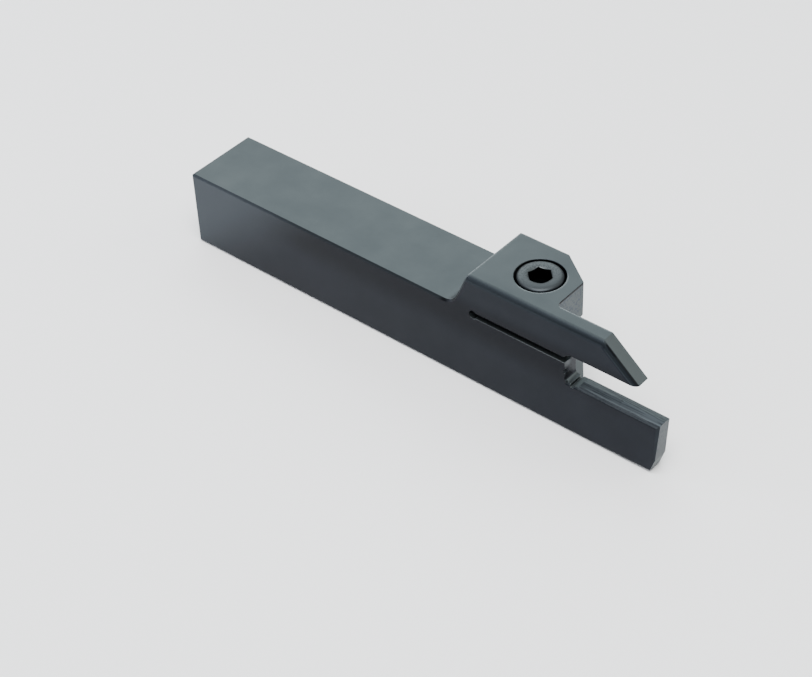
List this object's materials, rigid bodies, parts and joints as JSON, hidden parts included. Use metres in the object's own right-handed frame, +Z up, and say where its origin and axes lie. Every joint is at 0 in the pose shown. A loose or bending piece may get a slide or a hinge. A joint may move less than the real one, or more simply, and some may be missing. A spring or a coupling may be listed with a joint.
{
  "type": "turning tool holder",
  "caption": "Square-shank turning tool holder for grooving and parting, left hand: a one-piece steel body with a blade and slit jaw that a socket head screw clamps on an insert.",
  "frame": {"origin": "middle of the base plane of the whole holder, halfway along its length and width", "axes": "+X from the shank's rear end towards the cutting end, +Y from the blade's side across the shank, +Z up from the base to the head"},
  "size_m": [0.1084, 0.016, 0.0237],
  "materials": {
    "black_oxide_steel": "milled, ground and black-oxide coated steel",
    "screw_steel": "satin grey alloy steel screw"
  },
  "bodies": {
    "holder": {"holder_body": "black_oxide_steel"},
    "screw": {"clamp_screw": "screw_steel"}
  },
  "joints": [
    {"name": "screw_out", "type": "slide", "parent": "holder", "child": "screw", "axis": [0, 0, 1], "range_m": [0, 0.0124]}
  ]
}
